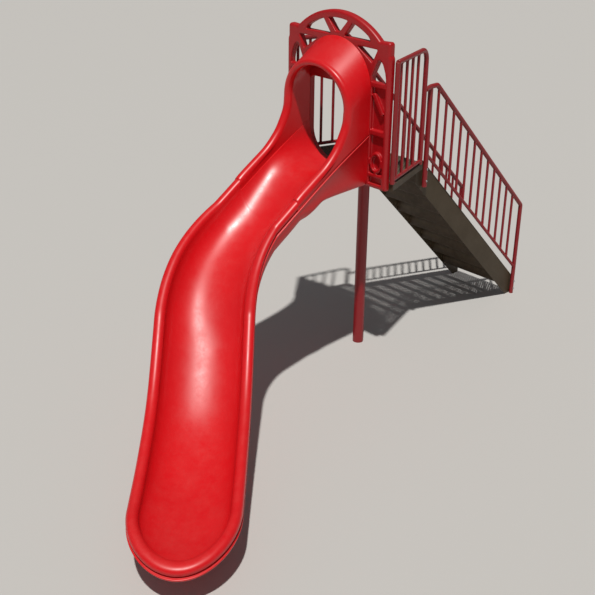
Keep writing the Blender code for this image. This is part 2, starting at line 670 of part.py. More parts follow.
# Exit leg ---------------------------------------------------------------------------------------
def make_exit_leg(chute):
    """A short steel leg under the end of the chute, with a saddle plate bolted to its bed."""
    middle, heading = centre_line(LEG_STATION)
    turn = Matrix.Rotation(math.atan2(heading.y, heading.x), 4, "Z")
    reach = SADDLE[0] / 2
    lowest = min(smooth_height(BED_HEIGHTS, LEG_STATION + d) for d in (-reach, 0, reach))
    top = lowest - CHUTE_WALL - 0.0008
    leg = pillar("exit_leg", LEG_RADIUS, 0, top - SADDLE[2] / 2, RED_STEEL, segments=20)
    leg.location.xy = middle.xy
    saddle = block("saddle", SADDLE, (0, 0, 0), None)
    saddle.matrix_world = Matrix.Translation((*middle.xy, top - SADDLE[2] / 2)) @ turn
    combine(leg, [saddle], "UNION")
    for end, along in (("upper", -0.07), ("lower", 0.07)):
        seat = middle + heading * along
        bolt(f"leg_bolt_{end}", (seat.x, seat.y, top - SADDLE[2]), (0, 0, 1), 0.013, [leg, chute])
    return leg


# Assembly ---------------------------------------------------------------------------------------
deck_pan = make_deck()
make_post(deck_pan)
entrance = make_panel(deck_pan)
slide = make_chute()
canopy = make_hood()
bolt_slide_to_panel(entrance, slide, canopy)
for step in range(1, RISERS):
    make_step(step)
for hand_name, hand_side in (("left", 1), ("right", -1)):
    make_guardrail(hand_name, hand_side, deck_pan)
    make_handrail(hand_name, hand_side, make_stringer(hand_name, hand_side))
make_exit_leg(slide)

for piece in parts.objects:
    piece.data.shade_smooth()
    piece.data.set_sharp_from_angle(angle=math.radians(35))
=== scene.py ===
# %% [markdown]
# # A freestanding playground slide
# Stairs climb to a small deck on one post. An arched entrance panel closes the deck's front, and a
# hooded plastic chute leaves it and turns to the rider's left. The solids and their places come
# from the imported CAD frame. Each step here rebuilds one piece with rounder edges and a finer
# surface than the CAD carries, and then paints it. All lengths are in metres.

# %% Load the fixed frame
import math

import bmesh
import bpy
from mathutils import Matrix, Vector


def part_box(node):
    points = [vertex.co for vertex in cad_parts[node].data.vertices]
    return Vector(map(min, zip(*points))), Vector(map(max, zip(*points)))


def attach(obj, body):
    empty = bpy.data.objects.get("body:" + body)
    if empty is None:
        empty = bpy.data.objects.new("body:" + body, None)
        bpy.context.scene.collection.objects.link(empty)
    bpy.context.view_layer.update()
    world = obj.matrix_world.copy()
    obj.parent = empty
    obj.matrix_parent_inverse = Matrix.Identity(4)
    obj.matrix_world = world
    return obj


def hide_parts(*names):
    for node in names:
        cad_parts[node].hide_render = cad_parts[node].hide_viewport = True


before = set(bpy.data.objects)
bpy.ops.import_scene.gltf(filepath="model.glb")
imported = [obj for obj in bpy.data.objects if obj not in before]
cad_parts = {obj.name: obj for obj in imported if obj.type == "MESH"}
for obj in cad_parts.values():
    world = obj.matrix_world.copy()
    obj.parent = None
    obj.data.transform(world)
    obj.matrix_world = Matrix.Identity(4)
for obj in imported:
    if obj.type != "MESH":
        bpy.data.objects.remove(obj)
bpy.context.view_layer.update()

# %% [markdown]
# ## Camera
# The slide is seen from its front left, from above the deck's height, with a long lens. A camera
# could be aimed with a Track To constraint, but a matrix built from the way it looks and from its
# up vector also holds the slight roll, and nothing is left to recalculate.

# %% The camera
CAMERA_PLACE = Vector((5.7335, -6.3957, 4.6059))
LOOKING = Vector((-0.64508, 0.62746, -0.43611))
CAMERA_ROLL = math.radians(0.579)



def place_in_scene(name, data):
    obj = bpy.data.objects.new(name, data)
    bpy.context.scene.collection.objects.link(obj)
    return obj


camera_data = bpy.data.cameras.new("camera")
camera_data.sensor_width, camera_data.lens = 36.0, 60.86
camera = place_in_scene("camera", camera_data)
level_right = LOOKING.cross(Vector((0, 0, 1))).normalized()
level_up = level_right.cross(LOOKING).normalized()
camera_right = level_right * math.cos(CAMERA_ROLL) + level_up * math.sin(CAMERA_ROLL)
camera_up = level_up * math.cos(CAMERA_ROLL) - level_right * math.sin(CAMERA_ROLL)
camera.matrix_world = Matrix.Translation(CAMERA_PLACE) @ Matrix(
    (camera_right, camera_up, -LOOKING.normalized())).transposed().to_4x4()
bpy.context.scene.camera = camera
bpy.context.scene.view_settings.view_transform = "Standard"
print("camera height", round(CAMERA_PLACE.z, 2), "m, lens", camera_data.lens, "mm")

# %% [markdown]
# ## Light
# A strong sun lamp gives one clear direction, as outdoors, and its small angle keeps the shadows
# fairly crisp. The pale world is dim and only fills the shade, and a large, faint panel of light
# on the other side adds a soft highlight along the round plastic.

# %% Lamps and world
SUN_FROM = Vector((0.287, -0.329, 1.0))


def place_lamp(name, data, place, towards):
    lamp = place_in_scene(name, data)
    lamp.matrix_world = Matrix.Translation(place) @ (
        (Vector(place) - Vector(towards)).to_track_quat("Z", "Y").to_matrix().to_4x4())


sun_data = bpy.data.lights.new("sun", "SUN")
sun_data.energy, sun_data.angle, sun_data.color = 3.4, math.radians(1.5), (1.0, 0.975, 0.94)
place_lamp("sun", sun_data, SUN_FROM * 8, (0, 0, 0))

panel_data = bpy.data.lights.new("soft_panel", "AREA")
panel_data.shape, panel_data.size, panel_data.size_y = "RECTANGLE", 6.0, 3.0
panel_data.energy, panel_data.color = 8, (0.95, 0.97, 1.0)
place_lamp("soft_panel", panel_data, (-4.0, -7.5, 5.0), (0.3, -1.5, 1.4))

world = bpy.data.worlds.new("pale_world")
bpy.context.scene.world = world
world.use_nodes = True
sky = world.node_tree.nodes["Background"]
sky.inputs["Color"].default_value = (0.93, 0.95, 1.0, 1)
sky.inputs["Strength"].default_value = 0.15

# %% [markdown]
# ## Node helpers
# Every finish is a small network of nodes. Short helpers keep the code readable: they add a node
# with its values, join an output to an input by name, start a group, lay out a noise, and stretch
# or multiply fields.

# %% Node helpers
def add_node(tree, kind, values=None, **settings):
    """A node. Settings are its own properties, and values go on its input sockets."""
    node = tree.nodes.new(kind)
    for key, value in settings.items():
        setattr(node, key, value)
    for socket, value in (values or {}).items():
        node.inputs[socket].default_value = value
    return node


def connect(tree, source, output, target, socket):
    tree.links.new(source.outputs[output], target.inputs[socket])


def new_group(name, inputs, outputs):
    """A shader node group. Inputs are (name, value); outputs are names of plain numbers."""
    group = bpy.data.node_groups.new(name, "ShaderNodeTree")
    for socket, value in inputs:
        made = group.interface.new_socket(socket, in_out="INPUT", socket_type="NodeSocketFloat")
        made.default_value = value
    for socket in outputs:
        group.interface.new_socket(socket, in_out="OUTPUT", socket_type="NodeSocketFloat")
    return group, group.nodes.new("NodeGroupInput"), group.nodes.new("NodeGroupOutput")


def noise(group, source, scale_socket, detail=4.0, roughness=0.55):
    """A noise field laid out in the object's own metres, so that every piece has the same grain."""
    place = add_node(group, "ShaderNodeTexCoord")
    field = add_node(group, "ShaderNodeTexNoise", {"Detail": detail, "Roughness": roughness})
    connect(group, place, "Object", field, "Vector")
    connect(group, source, scale_socket, field, "Scale")
    return field


def ramp(group, field, output, low, high):
    """Stretch a field so that low becomes 0 and high becomes 1."""
    stretch = add_node(group, "ShaderNodeMapRange", {"From Min": low, "From Max": high}, clamp=True)
    connect(group, field, output, stretch, "Value")
    return stretch


def product(group, first, first_output, second, second_output, clamp=False):
    node = add_node(group, "ShaderNodeMath", operation="MULTIPLY", use_clamp=clamp)
    connect(group, first, first_output, node, 0)
    connect(group, second, second_output, node, 1)
    return node


# %% [markdown]
# ## Shared effects
# The plastic and the coated steel age in the same ways: the colour is uneven, rain leaves runs,
# dust lies where a surface faces up, fine scratches gather, and edges rub through. Each effect is
# a node group with named inputs, built once and placed in every finish with its own values. A
# second way would be to copy the nodes into each material, but then one change would mean five.

# %% Patches: slow changes of colour
patches, patches_in, patches_out = new_group("patches", [("Scale", 3.0)], ["Patches"])
patch_field = noise(patches, patches_in, "Scale", detail=3.0)
patch_mask = ramp(patches, patch_field, "Fac", 0.35, 0.68)
connect(patches, patch_mask, "Result", patches_out, "Patches")

# %% Grain: the fine unevenness of a moulded or powder coated skin
grain, grain_in, grain_out = new_group("grain", [("Scale", 300.0), ("Ripple", 40.0)],
                                       ["Height", "Speckle"])
fine_field = noise(grain, grain_in, "Scale", detail=2.0)
ripple_field = noise(grain, grain_in, "Ripple", detail=1.0)
both = add_node(grain, "ShaderNodeMath", operation="ADD")
softer = add_node(grain, "ShaderNodeMath", {1: 0.35}, operation="MULTIPLY")
connect(grain, fine_field, "Fac", softer, 0)
connect(grain, softer, "Value", both, 0)
connect(grain, ripple_field, "Fac", both, 1)
connect(grain, both, "Value", grain_out, "Height")
speckle_mask = ramp(grain, fine_field, "Fac", 0.40, 0.72)
connect(grain, speckle_mask, "Result", grain_out, "Speckle")

# %% Dust: gathers where the surface faces up, in broken patches
dust, dust_in, dust_out = new_group("dust", [("Scale", 9.0), ("Amount", 0.4)], ["Dust"])
facing = add_node(dust, "ShaderNodeNewGeometry")
facing_parts = add_node(dust, "ShaderNodeSeparateXYZ")
connect(dust, facing, "Normal", facing_parts, "Vector")
upward = ramp(dust, facing_parts, "Z", 0.55, 1.0)
broken = ramp(dust, noise(dust, dust_in, "Scale", detail=8.0, roughness=0.65), "Fac", 0.30, 0.75)
gathered = product(dust, upward, "Result", broken, "Result")
weighed = product(dust, gathered, "Value", dust_in, "Amount", clamp=True)
connect(dust, weighed, "Value", dust_out, "Dust")

# %% Scratches: short thin marks, the zero lines of a stretched noise
scratches, scratches_in, scratches_out = new_group(
    "scratches", [("Scale", 14.0), ("Amount", 0.5)], ["Scratches"])
thin_field = noise(scratches, scratches_in, "Scale", detail=6.0, roughness=0.7)
from_middle = add_node(scratches, "ShaderNodeMath", {1: 0.5}, operation="SUBTRACT")
size = add_node(scratches, "ShaderNodeMath", operation="ABSOLUTE")
connect(scratches, thin_field, "Fac", from_middle, 0)
connect(scratches, from_middle, "Value", size, 0)
lines = ramp(scratches, size, "Value", 0.012, 0.0)
scratch_weight = product(scratches, lines, "Result", scratches_in, "Amount", clamp=True)
connect(scratches, scratch_weight, "Value", scratches_out, "Scratches")

# %% Edge wear: where the surface turns sharply outwards
wear, wear_in, wear_out = new_group("edge_wear", [("Scale", 25.0), ("Amount", 0.5)], ["Wear"])
shape = add_node(wear, "ShaderNodeNewGeometry")
edges = ramp(wear, shape, "Pointiness", 0.53, 0.60)
chips = ramp(wear, noise(wear, wear_in, "Scale", detail=6.0), "Fac", 0.42, 0.62)
rubbed = product(wear, edges, "Result", chips, "Result")
wear_weight = product(wear, rubbed, "Value", wear_in, "Amount", clamp=True)
connect(wear, wear_weight, "Value", wear_out, "Wear")
print("shared effects:", [g.name for g in bpy.data.node_groups])

# %% [markdown]
# ## Finishes
# Five finishes cover the slide: moulded red plastic, a deeper red plastic on the panel, red powder
# coat on the tubes, brown vinyl coat on the deck and stairs, and zinc on the bolts. A builder
# function mixes the shared effects in one order, from the clean colour to the dust on top, and each
# finish gives its own colours and weights. Roughness follows the same masks, because dust and
# scratches are dull.

# %% A function that builds a finish from the shared effects
def effect(tree, group, **values):
    return add_node(tree, "ShaderNodeGroup", values, node_tree=group, label=group.name)


def blend_colours(tree, below, mask, mask_output, strength, colour):
    """Lay a colour over the colour below, where the mask is high."""
    weight = add_node(tree, "ShaderNodeMath", {1: strength}, operation="MULTIPLY")
    connect(tree, mask, mask_output, weight, 0)
    mix = add_node(tree, "ShaderNodeMix", data_type="RGBA")
    connect(tree, weight, "Value", mix, "Factor")
    mix.inputs["B"].default_value = (*colour, 1)
    if isinstance(below, tuple):
        mix.inputs["A"].default_value = (*below, 1)
    else:
        tree.links.new(below, mix.inputs["A"])
    return mix.outputs["Result"]


def make_finish(name, colours, masks, roughness, bump, grain_size, metallic=0.0, coat=0.0):
    """colours: base, patch, speckle, scratch, worn, dust. masks: the weight of each layer."""
    material = bpy.data.materials.new(name)
    material.use_nodes = True
    tree = material.node_tree
    shader = tree.nodes["Principled BSDF"]
    base, patch, speckle, scratched, worn, dusty = colours
    layers = [(effect(tree, patches, Scale=masks["patch_scale"]), "Patches", masks["patch"], patch),
              (effect(tree, grain, Scale=grain_size[0], Ripple=grain_size[1]), "Speckle",
               masks["speckle"], speckle),
              (effect(tree, scratches, Amount=1.0), "Scratches", masks["scratch"], scratched),
              (effect(tree, wear, Amount=1.0), "Wear", masks["wear"], worn),
              (effect(tree, dust, Amount=1.0), "Dust", masks["dust"], dusty)]
    colour = base
    for node, output, strength, tint in layers:
        colour = blend_colours(tree, colour, node, output, strength, tint)
    tree.links.new(colour, shader.inputs["Base Color"])
    rough = None
    for (mask, output, _, _), weight in ((layers[0], roughness[1]),
                                         (layers[2], roughness[2] * masks["scratch"]),
                                         (layers[4], roughness[2])):
        duller = add_node(tree, "ShaderNodeMath", {1: weight, 2: roughness[0]},
                          operation="MULTIPLY_ADD", label=output, use_clamp=output == "Dust")
        connect(tree, mask, output, duller, 0)
        if rough:
            connect(tree, rough, "Value", duller, 2)
        rough = duller
    connect(tree, rough, "Value", shader, "Roughness")
    relief = add_node(tree, "ShaderNodeBump", {"Strength": bump[0], "Distance": bump[1]})
    connect(tree, layers[1][0], "Height", relief, "Height")
    connect(tree, relief, "Normal", shader, "Normal")
    shader.inputs["Metallic"].default_value = metallic
    shader.inputs["Coat Weight"].default_value = coat
    shader.inputs["Coat Roughness"].default_value = 0.25
    return material


# %% [markdown]
# Moulded polyethylene is coloured right through. It keeps its shine, with a faint ripple from the
# mould, and fades a little in slow patches. Its scratches show paler than the plastic.

# %% Red plastic
plastic = make_finish(
    "moulded_red_plastic",
    [(0.620, 0.004, 0.008), (0.500, 0.003, 0.006), (0.700, 0.012, 0.016), (0.66, 0.05, 0.05),
     (0.70, 0.06, 0.05), (0.48, 0.20, 0.14)],
    {"patch_scale": 1.6, "patch": 0.45, "speckle": 0.15, "scratch": 0.25, "wear": 0.25,
     "dust": 0.05},
    roughness=(0.30, 0.05, 0.25), bump=(0.05, 0.0004), grain_size=(420.0, 22.0))

# %% [markdown]
# The entrance panel is moulded from the same plastic in a deeper shade, with less gloss.

# %% Deep red plastic for the panel
panel_plastic = make_finish(
    "deep_red_plastic",
    [(0.400, 0.003, 0.007), (0.310, 0.002, 0.005), (0.470, 0.010, 0.014), (0.50, 0.05, 0.05),
     (0.55, 0.05, 0.045), (0.36, 0.15, 0.11)],
    {"patch_scale": 1.9, "patch": 0.45, "speckle": 0.15, "scratch": 0.2, "wear": 0.25,
     "dust": 0.05},
    roughness=(0.33, 0.07, 0.25), bump=(0.10, 0.0006), grain_size=(420.0, 22.0))

# %% [markdown]
# Powder coat on steel is a thin skin with an orange peel surface. It is darker than the plastic and
# chips at the welds and bends, where grey steel and brown rust show.

# %% Red powder coat
red_coat = make_finish(
    "red_powder_coat",
    [(0.270, 0.007, 0.012), (0.205, 0.005, 0.009), (0.31, 0.014, 0.018), (0.33, 0.05, 0.045),
     (0.17, 0.055, 0.03), (0.30, 0.15, 0.11)],
    {"patch_scale": 4.0, "patch": 0.4, "speckle": 0.2, "scratch": 0.25, "wear": 0.3, "dust": 0.22},
    roughness=(0.33, 0.10, 0.3), bump=(0.16, 0.0005), grain_size=(600.0, 160.0))

# %% [markdown]
# The deck and stairs are dipped in soft brown vinyl, matt and slightly pebbled. Feet bring grit, so
# the dust is strong on the flat faces and turns the deck grey.

# %% Brown vinyl coat
brown_coat = make_finish(
    "brown_vinyl_coat",
    [(0.052, 0.033, 0.013), (0.038, 0.024, 0.010), (0.075, 0.052, 0.026), (0.11, 0.085, 0.055),
     (0.10, 0.075, 0.05), (0.130, 0.122, 0.088)],
    {"patch_scale": 5.0, "patch": 0.5, "speckle": 0.4, "scratch": 0.3, "wear": 0.3, "dust": 0.85},
    roughness=(0.52, 0.12, 0.25), bump=(0.30, 0.0008), grain_size=(350.0, 120.0))

# %% [markdown]
# Zinc plate is a metal, so its colour belongs to the reflection. Spangle from the bath and white
# bloom make it uneven.

# %% Zinc plate
zinc = make_finish(
    "zinc_plate",
    [(0.42, 0.42, 0.43), (0.30, 0.30, 0.31), (0.50, 0.50, 0.50), (0.60, 0.60, 0.60),
     (0.55, 0.54, 0.52), (0.34, 0.31, 0.27)],
    {"patch_scale": 60.0, "patch": 0.6, "speckle": 0.4, "scratch": 0.4, "wear": 0.5, "dust": 0.4},
    roughness=(0.32, 0.18, 0.2), bump=(0.12, 0.0002), grain_size=(900.0, 300.0), metallic=1.0)
FINISHES = {"red_plastic": plastic, "red_coated_steel": red_coat,
            "brown_coated_steel": brown_coat, "zinc_plated_bolt": zinc}
print("finishes:", list(FINISHES))

# %% [markdown]
# ## Mesh helpers
# Most pieces are skins over rings of points, or flat outlines given a thickness. The skins are
# built point by point, because then every ring can follow a formula. Flat plates start as curves,
# since a curve fills its own outline, holes included, and rounds its edges with a bevel.

# %% Skins: points and faces into a finished piece
def finish_piece(obj, slot_name, *nodes, sharp=40):
    """Shade and paint the piece, hang it on the root body, and hide the CAD parts it stands for."""
    obj.data.materials.append(FINISHES[slot_name])
    obj.data.shade_smooth()
    obj.data.set_sharp_from_angle(angle=math.radians(sharp))
    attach(obj, "root")
    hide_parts(*nodes)


def around(count):
    return [2 * math.pi * i / count for i in range(count)]


def clean(bm, distance):
    bmesh.ops.remove_doubles(bm, verts=bm.verts, dist=distance)
    bmesh.ops.dissolve_degenerate(bm, dist=distance, edges=bm.edges)


def from_bmesh(bm, name):
    bmesh.ops.recalc_face_normals(bm, faces=bm.faces)
    mesh = bpy.data.meshes.new(name)
    bm.to_mesh(mesh)
    bm.free()
    return place_in_scene(name, mesh)


def skin(rings, name, caps=(True, True), merge=0.0):
    """Closed rings of points, each joined to the next, with the two end rings filled."""
    bm = bmesh.new()
    made = [[bm.verts.new(p) for p in ring] for ring in rings]
    for ring, following in zip(made, made[1:]):
        for i in range(len(ring)):
            j = (i + 1) % len(ring)
            bm.faces.new((ring[i], following[i], following[j], ring[j]))
    for wanted, ring in zip(caps, (made[0], made[-1])):
        if wanted:
            bm.faces.new(ring)
    if merge:
        clean(bm, merge)
    return from_bmesh(bm, name)


# %% Plates: flat outlines with holes, a thickness and rounded edges
def evaluated(obj, name):
    """The object's mesh with every modifier applied, as a new object; the old one is removed."""
    bpy.context.view_layer.update()
    graph = bpy.context.evaluated_depsgraph_get()
    mesh = bpy.data.meshes.new_from_object(obj.evaluated_get(graph))
    mesh.transform(obj.matrix_world)
    bpy.data.objects.remove(obj, do_unlink=True)
    bm = bmesh.new()
    bm.from_mesh(mesh)
    bmesh.ops.remove_doubles(bm, verts=bm.verts, dist=0.00002)
    bpy.data.meshes.remove(mesh)
    return from_bmesh(bm, name)


def front_plane(y):
    """Outlines in (x, z), standing at this y."""
    return Matrix(((1, 0, 0, 0), (0, 0, -1, y), (0, 1, 0, 0), (0, 0, 0, 1)))


def side_plane(x):
    """Outlines in (y, z), standing at this x."""
    return Matrix(((0, 0, 1, x), (1, 0, 0, 0), (0, 1, 0, 0), (0, 0, 0, 1)))


def level_plane(z):
    return Matrix.Translation((0, 0, z))


def plate(name, loops, thickness, plane, edge=0.0, edge_steps=2):
    curve = bpy.data.curves.new(name + "_curve", "CURVE")
    curve.dimensions, curve.fill_mode = "2D", "BOTH"
    for loop in loops:
        spline = curve.splines.new("POLY")
        spline.points.add(len(loop) - 1)
        for point, (u, v) in zip(spline.points, loop):
            point.co = (u, v, 0, 1)
        spline.use_cyclic_u = True
    curve.extrude, curve.bevel_depth, curve.offset = thickness / 2 - edge, edge, -edge
    curve.bevel_resolution = edge_steps
    obj = place_in_scene(name + "_curve", curve)
    obj.matrix_world = plane
    return evaluated(obj, name)


# %% Booleans: weld pieces together, or cut one with another
def combine(obj, others, operation, solver="MANIFOLD"):
    for other in others:
        modifier = obj.modifiers.new(operation.lower(), "BOOLEAN")
        modifier.operation, modifier.solver, modifier.object = operation, solver, other
    made = evaluated(obj, obj.name)
    for other in others:
        bpy.data.objects.remove(other, do_unlink=True)
    return made


# %% Tubes: a round section carried along a path
def rounded_path(corners, radius, steps=14):
    """The corners of an open path, each inner one replaced by an arc of this radius."""
    corners = [Vector(c) for c in corners]
    path = [corners[0]]
    for before, corner, after in zip(corners, corners[1:], corners[2:]):
        inward, outward = (before - corner).normalized(), (after - corner).normalized()
        half_angle = inward.angle(outward) / 2
        trim = radius / math.tan(half_angle)
        middle = corner + (inward + outward).normalized() * radius / math.sin(half_angle)
        start = (corner + inward * trim - middle).normalized()
        end = (corner + outward * trim - middle).normalized()
        path += [middle + start.slerp(end, i / steps).normalized() * radius
                 for i in range(steps + 1)]
    return path + [corners[-1]]


def tube(name, corners, radius, bend=0.0, sides=28, chamfer=0.0015):
    path = rounded_path(corners, bend) if bend else [Vector(c) for c in corners]
    first, last = (path[1] - path[0]).normalized(), (path[-2] - path[-1]).normalized()
    stops = [(path[0], radius - chamfer), (path[0] + first * chamfer, radius)]
    stops += [(p, radius) for p in path[1:-1]]
    stops += [(path[-1] + last * chamfer, radius), (path[-1], radius - chamfer)]
    normal, rings = first.orthogonal().normalized(), []
    for i, (point, size_here) in enumerate(stops):
        before, after = stops[max(i - 1, 0)][0], stops[min(i + 1, len(stops) - 1)][0]
        along = (after - before).normalized()
        normal = (normal - along * normal.dot(along)).normalized()
        across = along.cross(normal)
        rings.append([point + (normal * math.cos(t) + across * math.sin(t)) * size_here
                      for t in around(sides)])
    return skin(rings, name)


# %% Turned shapes: a profile spun about an axis
def turned(name, profile, origin, axis, sides=32, ring=False):
    """Profile points are (radius, along, hexagonal). A ring's profile closes on itself."""
    up = Vector(axis).normalized()
    side = up.orthogonal().normalized()
    other = up.cross(side)
    bm, rows = bmesh.new(), []
    for point in profile:
        radius, along, hexagonal = point if len(point) == 3 else (*point, False)
        row = []
        for t in around(sides):
            to_flat = math.cos((t + math.pi / 6) % (math.pi / 3) - math.pi / 6)
            reach = radius / to_flat if hexagonal else radius
            place = Vector(origin) + up * along + (side * math.cos(t) + other * math.sin(t)) * reach
            row.append(bm.verts.new(place))
        rows.append(row)
    for a, b in zip(rows, rows[1:] + rows[:1] if ring else rows[1:]):
        for k in range(sides):
            n = (k + 1) % sides
            bm.faces.new((a[k], b[k], b[n], a[n]))
    if not ring:
        bm.faces.new(rows[0])
        bm.faces.new(rows[-1])
    clean(bm, 0.00001)
    return from_bmesh(bm, name)


def weld_bead(origin, axis, radius, bead=0.0028, sides=28):
    """The small ring of weld metal where a bar meets a rail."""
    profile = [(radius - 0.0004 + bead * math.cos(t), bead * math.sin(t))
               for t in around(8)]
    return turned("weld_bead", profile, origin, axis, sides=sides, ring=True)


# %% [markdown]
# ## The chute's course
# The real chute is moulded in one piece. Its course in plan is a straight, a bend of 45 degrees and
# a run-out, and two more curves give the height of the rim and of the bed along the way. A Bezier
# curve with a bevel profile could carry one section, but here the section changes all the way, so
# each ring is worked out from the three curves.

# %% The course in plan, and the heights along it
PANEL_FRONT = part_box("entrance_panel")[0].y
PANEL_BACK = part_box("entrance_panel")[1].y
GAP = 0.0003
CHUTE_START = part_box("slide_chute")[1].y
STRAIGHT, BEND, TURN, RUNOUT = 1.025, 0.93, math.radians(45), 1.50
CHUTE_LENGTH = STRAIGHT + BEND * TURN + RUNOUT
WALL, CHUTE_HALF, RIM, RIM_DROP = 0.018, 0.3475, 0.0425, 0.042
CHUTE_SIDE, BOX_FOOT, NOSE, HOOD_END = 0.386, 1.757, 0.47, 0.80
LEDGE_SIDE, HOOD_FOOT_HALF = 0.3915, 0.3835
RIM_HEIGHTS = [(0, 2.245), (0.4, 2.03), (0.9, 1.72), (1.4, 1.39), (1.85, 0.99), (2.3, 0.65),
               (2.8, 0.47), (3.3, 0.375)]
BED_HEIGHTS = [(0, 1.875), (0.25, 1.865), (0.45, 1.815), (0.6, 1.70), (0.8, 1.54), (1.0, 1.41),
               (1.4, 1.145), (1.85, 0.75), (2.3, 0.43), (2.8, 0.29), (3.3, 0.262)]


def smooth_through(stations, s):
    """A smooth curve through (place, value) stations."""
    s = min(max(s, stations[0][0]), stations[-1][0])
    i = max(k for k in range(len(stations) - 1) if stations[k][0] <= s)

    def slope(k):
        a, b = stations[max(k - 1, 0)], stations[min(k + 1, len(stations) - 1)]
        return (b[1] - a[1]) / (b[0] - a[0])

    (s0, z0), (s1, z1) = stations[i], stations[i + 1]
    span = s1 - s0
    t = (s - s0) / span
    return ((2 * t**3 - 3 * t**2 + 1) * z0 + (t**3 - 2 * t**2 + t) * span * slope(i)
            + (3 * t**2 - 2 * t**3) * z1 + (t**3 - t**2) * span * slope(i + 1))


def ease(start, end, t):
    t = min(max(t, 0.0), 1.0)
    return start + (end - start) * t * t * (3 - 2 * t)


def course(s):
    """Place and heading in plan, this far along from the panel."""
    turned_by = min(max(s - STRAIGHT, 0) / BEND, TURN)
    ahead = max(s - STRAIGHT - BEND * TURN, 0)
    heading = Vector((math.sin(turned_by), -math.cos(turned_by), 0))
    bend_place = Vector((BEND * (1 - math.cos(turned_by)),
                         CHUTE_START - min(s, STRAIGHT) - BEND * math.sin(turned_by), 0))
    return bend_place + heading * ahead, heading


def joint_height(s):
    return smooth_through(RIM_HEIGHTS, s) - RIM_DROP


print("chute length along its middle:", round(CHUTE_LENGTH, 3), "m")

# %% [markdown]
# ## The chute
# Half of a section runs up the inside of the bed, over the rolled rim, round the small ledge under
# it, and down the outside wall. Under the hood there is no rim, only a flat that the hood stands
# on. The outside starts as a box with a crisp lower corner and turns round before the hood ends. At
# the end the half section swings round the tip, which makes the nose.

# %% One section of the chute
BED_SHAPE, BED_TIGHTER, BOX_SHAPE, ROUND_SHAPE = 0.93, 0.17, 14, 2.8
FOOT_BLEND, LEDGE, SHOULDER_DROP, SIDE_INSET = 0.03, 0.0070, 0.022, 0.002
RIM_SWEEP = 232     # degrees of the rolled rim, from inside the bed over to its outer underside


def chute_half(s, rolled, rim_z=None):
    bed_z = smooth_through(BED_HEIGHTS, s)
    rim_z = smooth_through(RIM_HEIGHTS, s) if rim_z is None else rim_z
    under_bed = bed_z - WALL
    foot_z = (BOX_FOOT + under_bed - math.hypot(BOX_FOOT - under_bed, FOOT_BLEND)) / 2
    tightness = BED_SHAPE + ease(0, BED_TIGHTER, s / 0.4) * ease(1, 0, (s - 0.8) / 0.5)
    roundness = ease(BOX_SHAPE, ROUND_SHAPE, (s - 0.45) / 0.30)
    inner_half, joint = CHUTE_HALF - RIM, rim_z - RIM_DROP
    bed_steps, rim_steps, ledge_steps, wall_steps = 22, 20, 5, 26
    half = []
    depth = rim_z - bed_z
    last = math.pi / 2 if rolled else math.acos((RIM_DROP / depth) ** (1 / tightness))
    for i in range(bed_steps + (0 if rolled else 1)):
        a = last * i / bed_steps
        half.append((inner_half * math.sin(a) ** tightness,
                     rim_z - depth * math.cos(a) ** tightness))
    ledge_start, inner_top = LEDGE_SIDE - LEDGE, half[-1][0]
    for i in range(0 if rolled else 1, rim_steps + 1):
        if rolled:
            a = math.radians(180 - RIM_SWEEP * i / rim_steps)
            half.append((CHUTE_HALF + RIM * math.cos(a), rim_z + RIM * math.sin(a)))
        else:
            half.append((inner_top + (ledge_start - inner_top) * i / (rim_steps + 1), joint))
    for i in range(ledge_steps + 1):
        a = math.pi / 2 * (1 - i / ledge_steps)
        half.append((ledge_start + LEDGE * math.cos(a), joint - LEDGE + LEDGE * math.sin(a)))
    shoulder, side = joint - SHOULDER_DROP, CHUTE_SIDE - SIDE_INSET
    for i in reversed(range(wall_steps + 1)):
        a = math.pi / 2 * i / wall_steps
        half.append((side * math.sin(a) ** (2 / roundness),
                     shoulder - (shoulder - foot_z) * max(math.cos(a), 0) ** (2 / roundness)))
    return half


def both_sides(middle, left, right, half):
    up = Vector((0, 0, 1))
    near = [middle + right * u + up * z for u, z in half]
    far = [middle + left * u + up * z for u, z in half[1:-1]]
    return near + far[::-1]


# %% The chute, from the panel to the nose
TIP_RIM, MERGE = 0.035, 0.00005
under_hood = [HOOD_END * i / 40 for i in range(41)]
beyond = [HOOD_END + GAP + (CHUTE_LENGTH - HOOD_END - GAP) * i / 120 for i in range(121)]
chute_rings = []
for s in under_hood + beyond:
    middle, heading = course(s)
    right = heading.cross(Vector((0, 0, 1)))
    chute_rings.append(both_sides(middle, -right, right, chute_half(s, s > HOOD_END)))
tip_rim = smooth_through(BED_HEIGHTS, CHUTE_LENGTH) + TIP_RIM
swings = 32
for i in range(1, swings + 1):
    angle = math.pi / 2 * i / swings
    ahead = heading * math.sin(angle) * NOSE / CHUTE_HALF
    sunk = ease(smooth_through(RIM_HEIGHTS, CHUTE_LENGTH), tip_rim, i / swings)
    half = chute_half(CHUTE_LENGTH, True, rim_z=sunk)
    chute_rings.append(both_sides(middle, ahead - right * math.cos(angle),
                                  ahead + right * math.cos(angle), half))
chute = skin(chute_rings, "chute", caps=(True, False), merge=MERGE)
finish_piece(chute, "red_plastic", "slide_chute", sharp=50)
print("chute:", len(chute.data.polygons), "faces")

# %% [markdown]
# ## The hood
# The hood is a second hollow moulding with thick walls. It stands on the chute's flats and leans on
# the panel. Ribs run from the panel to the front edge, each with an outer line, a rounded edge and
# an inner line, from one foot over the arch to the other. The front edge sweeps down and forward
# until it meets the chute's rolled rim, so both have the same radius there. A small step still
# shows where the two meet.

